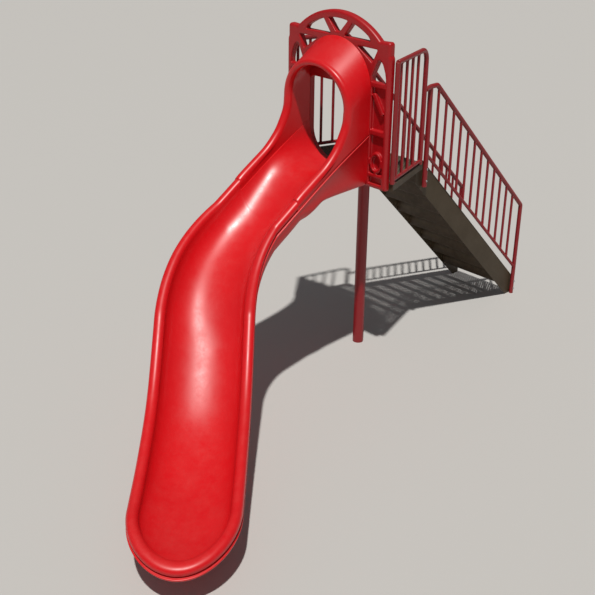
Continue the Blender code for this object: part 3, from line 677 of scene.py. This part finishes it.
# %% The hood's front edge
HOOD_HALF, HOOD_SPRING, HOOD_WALL, CROWN_WALL = 0.390, 2.570, 0.085, 0.055
HOOD_EDGE = [(HOOD_END, smooth_through(RIM_HEIGHTS, HOOD_END)), (0.73, 1.835), (0.60, 1.915),
             (0.45, 2.010), (0.335, 2.120), (0.268, 2.220), (0.218, 2.330), (0.205, 2.440)]
CROWN_EDGE = (0.245, 2.415)
EDGE_SPANS, FOOT_RISE = len(HOOD_EDGE) - 1, 0.025


def front_edge(place):
    """The middle of the edge at a place from 0 to EDGE_SPANS, and the way that it faces."""
    forward = [(i, p[0]) for i, p in enumerate(HOOD_EDGE)]
    height = [(i, p[1]) for i, p in enumerate(HOOD_EDGE)]
    here = (smooth_through(forward, place), smooth_through(height, place))
    step = 0.05
    low, high = max(place - step, 0), min(place + step, EDGE_SPANS)
    df = smooth_through(forward, high) - smooth_through(forward, low)
    dz = smooth_through(height, high) - smooth_through(height, low)
    facing_now = Vector((dz, -df)).normalized()
    upright = ease(1, 0, place / 0.5)
    ahead = ease(0, 1, place - EDGE_SPANS + 1)
    facing_now = facing_now.lerp(Vector((0, 1)), upright).lerp(Vector((1, 0)), ahead)
    return here, facing_now.normalized()


# %% The hood's ribs
def hood_rib(side, height, angle=None, foot=False, steps=26, edge_steps=14):
    wall, half = HOOD_WALL, HOOD_HALF
    if angle is None:
        across = Vector((side, 0, 0))
        (reach, top), faces = front_edge(height * EDGE_SPANS)
        half = ease(HOOD_FOOT_HALF, HOOD_HALF, height / FOOT_RISE)
        if foot:
            reach, top = HOOD_END, joint_height(HOOD_END)
    else:
        reach = HOOD_EDGE[-1][0] + (CROWN_EDGE[0] - HOOD_EDGE[-1][0]) * math.sin(angle) ** 2
        top = HOOD_EDGE[-1][1] + (CROWN_EDGE[1] - HOOD_EDGE[-1][1]) * math.sin(angle)
        wall += (CROWN_WALL - HOOD_WALL) * math.sin(angle) ** 2
        across = Vector((side * math.cos(angle), 0, math.sin(angle)))
        faces = Vector((1, 0))
    outer = []
    for i in range(steps + 1):
        forward = reach * i / steps
        y = CHUTE_START - forward
        if angle is None:
            start = (HOOD_SPRING - joint_height(0)) * height
            rise = start + (top - joint_height(reach) - start) * i / steps
            outer.append(Vector((side * half, y, joint_height(forward) + GAP + rise)))
        else:
            spring = HOOD_SPRING + (top - HOOD_SPRING) * i / steps
            outer.append(Vector((0, y, spring)) + across * half)
    inner = [Vector((side * HOOD_HALF, p.y, p.z)) - across * wall if angle is None
             else p - across * wall for p in outer]
    core = (outer[-1] + inner[-1]) / 2
    lift = Vector((0, -faces.x, faces.y)) * (0.0 if foot else 1.0)
    turns = [math.pi * i / edge_steps for i in range(1, edge_steps)]
    edge = [core + (lift * math.sin(t) + across * math.cos(t)) * wall / 2 for t in turns]
    return outer + edge + inner[::-1]


# %% The hood, skinned from foot to foot
side_steps, arch_steps = 48, 64
side_heights = [0.0, 0.006, 0.012] + [i / side_steps for i in range(1, side_steps)]
hood_rings = [hood_rib(-1, 0, foot=True)] + [hood_rib(-1, h) for h in side_heights]
for i in range(arch_steps + 1):
    swing = math.pi * i / arch_steps
    side, lean = (-1, swing) if swing <= math.pi / 2 else (1, math.pi - swing)
    hood_rings.append(hood_rib(side, None, lean))
hood_rings += [hood_rib(1, h) for h in reversed(side_heights)] + [hood_rib(1, 0, foot=True)]
hood = skin(hood_rings, "hood", merge=MERGE)
finish_piece(hood, "red_plastic", "slide_hood", sharp=50)
print("hood:", len(hood.data.polygons), "faces")

# %% [markdown]
# ## The entrance panel
# The panel is one hollow moulding, 60 mm thick, so all its edges are soft. Its outline carries an
# arch between two ears, with spokes and windows inside the arch, and sunk fields with ribs and a
# ring beside the opening. Bevelling such an outline fails in the sharp corners. So the shape is
# cut hard first, then remeshed into small even faces and smoothed, which rounds every edge as a
# mould does.

# %% The panel's outlines
HALF, FOOT, SHOULDER, EAR = 0.585, 1.765, 2.865, 2.985
ARCH_CENTRE, ARCH_OUTER, ARCH_INNER = 2.475, 0.685, 0.625


def arc(centre, radius, start, end, steps):
    angles = [math.radians(start + (end - start) * i / steps) for i in range(steps + 1)]
    return [(centre[0] + radius * math.cos(a), centre[1] + radius * math.sin(a)) for a in angles]


def mirrored(loop):
    return [(-u, v) for u, v in reversed(loop)]


def panel_outline():
    ear_outer, ear_inner, ear_round = HALF - 0.010, 0.462, 0.024
    right_side = [(HALF, FOOT), (HALF, SHOULDER - 0.01), (HALF - 0.003, SHOULDER),
                  (ear_outer, SHOULDER + 0.012)]
    right_side += arc((ear_outer - ear_round, EAR - ear_round), ear_round, 0, 90, 6)
    spring = math.degrees(math.acos(ear_inner / ARCH_OUTER))
    return right_side + arc((0, ARCH_CENTRE), ARCH_OUTER, spring, 180 - spring, 60) + mirrored(
        right_side)


def panel_windows():
    centre = (0, ARCH_CENTRE)
    top = [(-0.022, 2.992), (0.022, 2.992)] + arc(centre, ARCH_INNER, 80, 100, 8)
    upper = [(0.073, 2.964), (0.368, 2.962)] + arc(centre, ARCH_INNER, 57, 75, 8)
    shoulder = [(0.215, 2.915), (0.388, 2.800), (0.443, 2.912)]
    column = [(0.392, 2.700), (0.392, 2.652), (0.542, 2.652), (0.540, 2.700), (0.530, 2.745),
              (0.505, 2.805), (0.480, 2.833), (0.455, 2.833)]
    return [top] + [w for loop in (upper, shoulder, column) for w in (loop, mirrored(loop))]


def capsule(start, end, radius):
    """A straight strut with round ends."""
    lean = math.degrees(math.atan2(end[1] - start[1], end[0] - start[0]))
    return (arc(end, radius, lean - 90, lean + 90, 10)
            + arc(start, radius, lean + 90, lean + 270, 10))


def panel_fields():
    """The sunk fields. An outline inside another stands up again, so the ring is two of them."""
    inner, outer, ring_centre = 0.400, 0.542, (0.471, 1.988)
    strut = capsule((0.428, 2.545), (0.512, 2.412), 0.0205)
    fields = [[(inner, 2.612), (outer, 2.612), (outer, 2.262), (inner, 2.262)], strut,
              [(inner, 2.218), (outer, 2.218), (outer, 1.892), (inner, 1.892)],
              [(inner, 1.862), (outer, 1.862), (outer, 1.805), (inner, 1.805)]]
    for across, up in ((0.066, 0.088), (0.046, 0.064)):
        fields.append([(ring_centre[0] + across * math.cos(t), ring_centre[1] + up * math.sin(t))
                       for t in around(40)])
    return [half for field in fields for half in (field, mirrored(field))]


def way_through():
    half, sill, top, corner, bowl_height = 0.305, 1.875, 2.586, 0.035, 0.255
    bowl = [(half * math.cos(math.radians(a)),
             sill + bowl_height * (1 + math.sin(math.radians(a)))) for a in range(180, 361, 5)]
    top_right = arc((half - corner, top - corner), corner, 0, 90, 6)
    return bowl + top_right + mirrored(top_right)


# %% The panel, cut hard and then softened
FRONT_ROUND, BACK_ROUND, BACK_DEPTH, FIELD_CUT, VOXEL = 0.022, 0.006, 0.032, 0.060, 0.0045
panel = plate("panel", [panel_outline()], PANEL_BACK - PANEL_FRONT,
              front_plane((PANEL_FRONT + PANEL_BACK) / 2), edge=FRONT_ROUND, edge_steps=4)
back_half = plate("panel_back", [panel_outline()], BACK_DEPTH,
                  front_plane(PANEL_BACK - BACK_DEPTH / 2), edge=BACK_ROUND)
panel = combine(panel, [back_half], "UNION", solver="EXACT")
cutters = [plate("cut_windows", panel_windows() + [way_through()], 0.2, front_plane(PANEL_FRONT)),
           plate("cut_fields", panel_fields(), FIELD_CUT, front_plane(PANEL_FRONT))]
panel = combine(panel, cutters, "DIFFERENCE", solver="EXACT")
remesh = panel.modifiers.new("small_even_faces", "REMESH")
remesh.mode, remesh.voxel_size = "VOXEL", VOXEL
soften = panel.modifiers.new("soften", "SMOOTH")
soften.factor, soften.iterations = 0.5, 6
panel = evaluated(panel, "panel")
finish_piece(panel, "red_plastic", "entrance_panel", sharp=180)
panel.data.materials[0] = panel_plastic
print("panel:", len(panel.data.polygons), "faces")

# %% [markdown]
# ## Guardrails
# Each guardrail is a welded frame: one bent tube makes the top rail and the rear post, and a front
# post, a low rail, four bars and two foot tabs are welded to it. Curves with a round bevel could
# stand for the tubes, but they would only pass through each other. Welding them by Boolean leaves
# one clean skin, and a small bead goes round each joint.

# %% A frame of welded tubes
DECK_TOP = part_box("deck")[1].z
RAIL, LOW_RAIL, BAR, HAND_POST = 0.021, 0.0150, 0.0127, 0.024


def bar_with_beads(foot, top, foot_rail, top_rail, slope=0.0):
    """An upright bar between the middles of two rails, and a weld bead where it meets each."""
    up = (Vector(top) - Vector(foot)).normalized()
    stand = math.sqrt(1 + slope * slope)
    low = Vector(foot) + up * (foot_rail * stand - 0.0005)
    high = Vector(top) - up * (top_rail * stand - 0.0005)
    lean = Vector((0, -slope, 1)).normalized() if slope else up
    return [tube("bar", [foot, top], BAR, sides=20),
            weld_bead(low, lean, BAR, sides=20), weld_bead(high, lean, BAR, sides=20)]


def rectangle(width, depth):
    u, v = width / 2, depth / 2
    return [(u, -v), (u, v), (-u, v), (-u, -v)]


def foot_tab(x, y, z, thickness=0.006):
    return plate("foot_tab", [rectangle(0.070, 0.050)], thickness,
                 Matrix.Translation((x, y, z + thickness / 2)), edge=0.001)


# %% The two guardrails
GUARD_FRONT, GUARD_REAR, GUARD_TOP = (0.610, -0.335), (0.428, 0.240), DECK_TOP + 1.004
GUARD_BARS, FIRST_BAR, BAR_STEP, TAB_INSET = 4, 0.114, 0.199, 0.036
for hand, side in (("left", 1), ("right", -1)):
    front = Vector((side * GUARD_FRONT[0], GUARD_FRONT[1], 0))
    rear = Vector((side * GUARD_REAR[0], GUARD_REAR[1], 0))
    foot, low = DECK_TOP + GAP, DECK_TOP + 0.032
    rise = [Vector((0, 0, z)) for z in (foot, low, GUARD_TOP)]
    frame_tube = tube("guardrail_frame_" + hand,
                      [front + rise[2], rear + rise[2], rear + rise[0]], RAIL, bend=0.10)
    welded = [tube("front_post", [front + rise[0], front + rise[2] + Vector((0, 0, 0.001))], RAIL),
              tube("low_rail", [front + rise[1], rear + rise[1]], LOW_RAIL)]
    for i in range(GUARD_BARS):
        point = front.lerp(rear, FIRST_BAR + BAR_STEP * i)
        welded += bar_with_beads(point + rise[1], point + rise[2], LOW_RAIL, RAIL)
    for x, y in ((GUARD_FRONT[0] - TAB_INSET, GUARD_FRONT[1] + 0.028),
                 (GUARD_REAR[0] - TAB_INSET, GUARD_REAR[1] - 0.003)):
        welded.append(foot_tab(side * x, y, foot + 0.0005))
    guardrail = combine(frame_tube, welded, "UNION")
    finish_piece(guardrail, "red_coated_steel", f"guardrail_{hand}")
    print(guardrail.name, len(guardrail.data.polygons), "faces")

# %% [markdown]
# ## Stair handrails
# A handrail runs level from the guardrail's post, bends down along the stairs and ends as its own
# foot post. Twelve bars stand between it and a low rail. The bars are upright while the rails
# slope, so their weld beads lean with the rails.

# %% The two handrails
HAND_X, FIRST_Y, KNEE_Y, END_Y = 0.377, 0.387, 0.478, 1.983
HAND_TOP, END_TOP, POST_FOOT, LOWER_END = 2.479, 0.995, 1.573, 0.303
PITCH = (HAND_TOP - END_TOP) / (END_Y - KNEE_Y)
HAND_BARS, BAR_SPACING = 12, 0.1192


def low_height(y):
    return LOWER_END + PITCH * (END_Y - y)


for hand, side in (("left", 1), ("right", -1)):
    x = side * HAND_X
    guard_post = Vector((side * GUARD_REAR[0], GUARD_REAR[1], HAND_TOP))
    upper_post = Vector((x, FIRST_Y, HAND_TOP))
    start = guard_post + (upper_post - guard_post).normalized() * (RAIL + 0.004)
    hand_tube = tube("handrail_frame_" + hand, [start, upper_post, (x, KNEE_Y, HAND_TOP),
                                                (x, END_Y, END_TOP), (x, END_Y, 0)],
                     RAIL, bend=0.035)
    welded = [tube("upper_post", [(x, FIRST_Y, POST_FOOT), upper_post], HAND_POST - 0.001),
              tube("low_rail", [(x, FIRST_Y, low_height(FIRST_Y)), (x, END_Y, LOWER_END)],
                   LOW_RAIL)]
    for i in range(1, HAND_BARS + 1):
        y = FIRST_Y + BAR_SPACING * i
        top = HAND_TOP - PITCH * max(y - KNEE_Y, 0)
        welded += bar_with_beads((x, y, low_height(y)), (x, y, top), LOW_RAIL, RAIL, slope=PITCH)
    handrail = combine(hand_tube, welded, "UNION")
    finish_piece(handrail, "red_coated_steel", f"handrail_{hand}")
    print(handrail.name, len(handrail.data.polygons), "faces")

# %% [markdown]
# ## The deck
# The deck is a steel pan punched with round holes in a staggered pattern, so that water and grit
# fall through. A texture could fake the holes, but light falls through the real ones and dots the
# shadow. The holes are one mesh of many short pins, cut out in a single Boolean.

# %% A staggered field of pins
def pins(rows, radius, low, high, sides=10):
    """Upright pins at the (x, y) points, as one mesh."""
    points, faces = [], []
    for x, y in rows:
        base = len(points)
        for z in (low, high):
            points += [(x + radius * math.cos(t), y + radius * math.sin(t), z)
                       for t in around(sides)]
        faces.append([base + k for k in reversed(range(sides))])
        faces.append([base + sides + k for k in range(sides)])
        faces += [[base + k, base + (k + 1) % sides, base + sides + (k + 1) % sides,
                   base + sides + k] for k in range(sides)]
    mesh = bpy.data.meshes.new("pins")
    mesh.from_pydata(points, [], faces)
    return place_in_scene("pins", mesh)


def staggered(half_at, front, back, pitch):
    """Rows of points from front to back, every other row moved by half a pitch."""
    rows, count = [], int((back - front) / (pitch * 0.866))
    for j in range(count + 1):
        y = front + (back - front) * j / count
        half = half_at(y)
        offset = pitch / 2 if j % 2 else 0.0
        columns = int((half - offset) / pitch)
        across = [offset + pitch * i for i in range(columns + 1)]
        rows += [(x, y) for x in sorted({-x for x in across} | set(across))]
    return rows


# %% The deck pan
DECK_FRONT, DECK_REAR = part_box("deck")[0].y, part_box("deck")[1].y
DECK_FRONT_HALF, DECK_REAR_HALF, DECK_DEPTH, SHEET = 0.625, 0.418, 0.061, 0.005
HOLE_PITCH, HOLE_RADIUS, HOLE_MARGIN = 0.026, 0.0068, 0.035


def deck_half(y):
    run = (y - DECK_FRONT) / (DECK_REAR - DECK_FRONT)
    return DECK_FRONT_HALF + (DECK_REAR_HALF - DECK_FRONT_HALF) * run


pan_outline = [(-DECK_FRONT_HALF, DECK_FRONT), (DECK_FRONT_HALF, DECK_FRONT),
               (DECK_REAR_HALF, DECK_REAR), (-DECK_REAR_HALF, DECK_REAR)]
inside_front, inside_rear = DECK_FRONT + SHEET, DECK_REAR - SHEET
hollow = [(-deck_half(inside_front) + SHEET, inside_front),
          (deck_half(inside_front) - SHEET, inside_front),
          (deck_half(inside_rear) - SHEET, inside_rear),
          (-deck_half(inside_rear) + SHEET, inside_rear)]
deck = plate("deck_pan", [pan_outline], DECK_DEPTH, level_plane(DECK_TOP - DECK_DEPTH / 2),
             edge=0.003)
deck_inside = plate("deck_inside", [hollow], DECK_DEPTH,
                    level_plane(DECK_TOP - SHEET - DECK_DEPTH / 2))
holes = staggered(lambda y: deck_half(y) - HOLE_MARGIN, DECK_FRONT + HOLE_MARGIN,
                  DECK_REAR - HOLE_MARGIN, HOLE_PITCH)
deck = combine(deck, [deck_inside, pins(holes, HOLE_RADIUS, DECK_TOP - 0.03, DECK_TOP + 0.01)],
               "DIFFERENCE")
finish_piece(deck, "brown_coated_steel", "deck")
print("deck:", len(holes), "holes,", len(deck.data.polygons), "faces")

# %% [markdown]
# ## The stairs
# Each step is one folded sheet: a punched tread, a rounded fold, and a riser up to the next tread.
# All eight have the same section, so one function draws the folded outline and gives it the width
# between the stringers. The lowest tread is a little deeper.

# %% The steps
RISERS, NOSE_ROUND, FOLD_OUTER, FOLD_INNER = 9, 0.0024, 0.009, 0.004
RISE = DECK_TOP / RISERS
STEP_LOW, STEP_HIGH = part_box("stair_step_1")
for number in range(1, RISERS):
    back = DECK_REAR + GAP + RISE * (number - 1)
    top = DECK_TOP - RISE * number
    riser_top = top + RISE - SHEET - GAP
    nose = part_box(f"stair_step_{number}")[1].y
    profile = arc((back + FOLD_OUTER, top - SHEET + FOLD_OUTER), FOLD_OUTER, 180, 270, 6)
    profile += arc((nose - NOSE_ROUND, top - SHEET / 2), NOSE_ROUND, -90, 90, 6)
    profile += arc((back + SHEET + FOLD_INNER, top + FOLD_INNER), FOLD_INNER, 270, 180, 6)
    profile += [(back + SHEET, riser_top), (back, riser_top)]
    step = plate(f"step_{number}", [profile], STEP_HIGH.x - STEP_LOW.x, side_plane(0))
    holes = staggered(lambda y: STEP_HIGH.x - 0.030, back + 0.026, nose - 0.020, HOLE_PITCH)
    step = combine(step, [pins(holes, HOLE_RADIUS, top - 0.02, top + 0.02)], "DIFFERENCE")
    finish_piece(step, "brown_coated_steel", f"stair_step_{number}")
print("eight steps,", len(holes), "holes in the lowest")

# %% [markdown]
# The stringers are flat steel plates on both sides of the steps. A plate with a small rounded edge
# is all that the real ones are.

# %% The stringers
HEEL, HEEL_HEIGHT = 2.000, 0.190
LOWER_LINE, UPPER_LINE = 1.910, 2.190   # where the sloping edges, at 45 degrees, reach the ground
for hand in ("left", "right"):
    low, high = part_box(f"stair_stringer_{hand}")
    outline = [(DECK_REAR + GAP, LOWER_LINE - DECK_REAR), (LOWER_LINE, 0), (HEEL, 0),
               (HEEL, HEEL_HEIGHT), (UPPER_LINE - DECK_TOP, DECK_TOP), (DECK_REAR + GAP, DECK_TOP)]
    stringer = plate(f"stringer_{hand}", [outline], high.x - low.x,
                     side_plane((low.x + high.x) / 2), edge=0.0012)
    finish_piece(stringer, "brown_coated_steel", f"stair_stringer_{hand}")

# %% [markdown]
# ## Under the deck
# Two square tubes lie across a plate on top of the post. Open tube ends show that they are hollow,
# so each beam is a square ring given a length. The post is a turned pipe with a weld under the
# plate, and a short leg with a saddle carries the chute's end.

# %% Beams, cap plate and post
def rounded_square(half, corner):
    loop = []
    for quarter, (a, b) in enumerate(((1, 1), (-1, 1), (-1, -1), (1, -1))):
        loop += arc((a * (half - corner), b * (half - corner)), corner, 90 * quarter,
                    90 * quarter + 90, 5)
    return loop


for name in ("front", "rear"):
    low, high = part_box(f"deck_beam_{name}")
    middle, half = (low + high) / 2, (high.z - low.z) / 2
    walls = [[(middle.y + u, middle.z + v) for u, v in rounded_square(h, c)]
             for h, c in ((half, 0.006), (half - 0.004, 0.003))]
    beam = plate(f"beam_{name}", walls, high.x - low.x, side_plane(0), edge=0.0004, edge_steps=1)
    finish_piece(beam, "brown_coated_steel", f"deck_beam_{name}")

low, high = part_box("post_cap_plate")
cap_outline = [(high.x, low.y), (high.x, high.y), (low.x, high.y), (low.x, low.y)]
cap = plate("cap_plate", [cap_outline], high.z - low.z, level_plane((low.z + high.z) / 2),
            edge=0.0015)
finish_piece(cap, "red_coated_steel", "post_cap_plate")

post_top, post_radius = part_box("support_post")[1].z, 0.0508
post = turned("post", [(post_radius - 0.002, 0), (post_radius, 0.002), (post_radius, 0.6),
                       (post_radius, 1.2), (post_radius, post_top - 0.0082),
                       (post_radius + 0.0035, post_top - 0.0062),
                       (post_radius + 0.0055, post_top - 0.0022),
                       (post_radius + 0.0050, post_top)], (0, 0, 0), (0, 0, 1), sides=64)
finish_piece(post, "red_coated_steel", "support_post")

# %% The exit leg
LEG_PLACE, SADDLE = 2.95, 0.008
leg_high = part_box("exit_leg")[1]
leg_middle, leg_heading = course(LEG_PLACE)
leg_turn = Matrix.Rotation(math.atan2(leg_heading.y, leg_heading.x), 4, "Z")
saddle_centre = (leg_middle.x, leg_middle.y, leg_high.z - SADDLE / 2)
saddle = plate("saddle", [rectangle(0.20, 0.12)], SADDLE,
               Matrix.Translation(saddle_centre) @ leg_turn, edge=0.0015)
saddle_foot = leg_high.z - SADDLE
leg = turned("leg_and_saddle",
             [(0.028, 0), (0.030, 0.002), (0.030, saddle_foot - 0.006),
              (0.0330, saddle_foot - 0.004), (0.0350, saddle_foot + 0.001)],
             (leg_middle.x, leg_middle.y, 0), (0, 0, 1), sides=48)
leg = combine(leg, [saddle], "UNION")
finish_piece(leg, "red_coated_steel", "exit_leg")
print("leg height:", round(leg_high.z, 3), "m")

# %% [markdown]
# ## Bolts
# The bolts are button heads with a hexagonal socket. One profile is turned about each bolt's own
# axis. In the socket rows the radius follows a hexagon instead of a circle, which saves a Boolean.

# %% Button-headed bolts
HEADS = {"cap": (0, 0, -1), "panel": (0, 1, 0), "chute": (0, 1, 0), "hood": (0, 1, 0),
         "guard": (0, 0, 1), "leg": (0, 0, -1)}
bolt_names = sorted(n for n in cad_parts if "_bolt_" in n)
for name in bolt_names:
    low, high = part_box(name)
    middle = (low + high) / 2
    kind = name.split("_")[0]
    axis = Vector(HEADS.get(kind, (1 if middle.x > 0 else -1, 0, 0)))
    length = abs((high - low).dot(axis))
    tip = middle - axis * length / 2
    profile = [(0.0030, 0), (0.0040, 0.001), (0.0040, length - 0.006), (0.0098, length - 0.006),
               (0.0100, length - 0.0056), (0.0099, length - 0.0045), (0.0088, length - 0.0022),
               (0.0068, length - 0.0006), (0.0052, length - 0.0001),
               (0.0033, length - 0.0002, True), (0.0030, length - 0.0030, True),
               (0.0012, length - 0.0036, True)]
    bolt = turned(name.replace("_bolt_", "_button_bolt_"), profile, tip, axis, sides=36)
    finish_piece(bolt, "zinc_plated_bolt", name, sharp=30)
print(len(bolt_names), "bolts")

# %% [markdown]
# ## Floor
# A plain pale floor catches the shadow.

# %% The floor
floor_mesh = bmesh.new()
bmesh.ops.create_grid(floor_mesh, x_segments=2, y_segments=2, size=45)
floor = from_bmesh(floor_mesh, "floor")
floor_paint = bpy.data.materials.new("pale_floor")
floor_paint.use_nodes = True
floor_shader = floor_paint.node_tree.nodes["Principled BSDF"]
floor_shader.inputs["Base Color"].default_value = (0.50, 0.49, 0.47, 1)
floor_shader.inputs["Roughness"].default_value = 0.85
floor.data.materials.append(floor_paint)
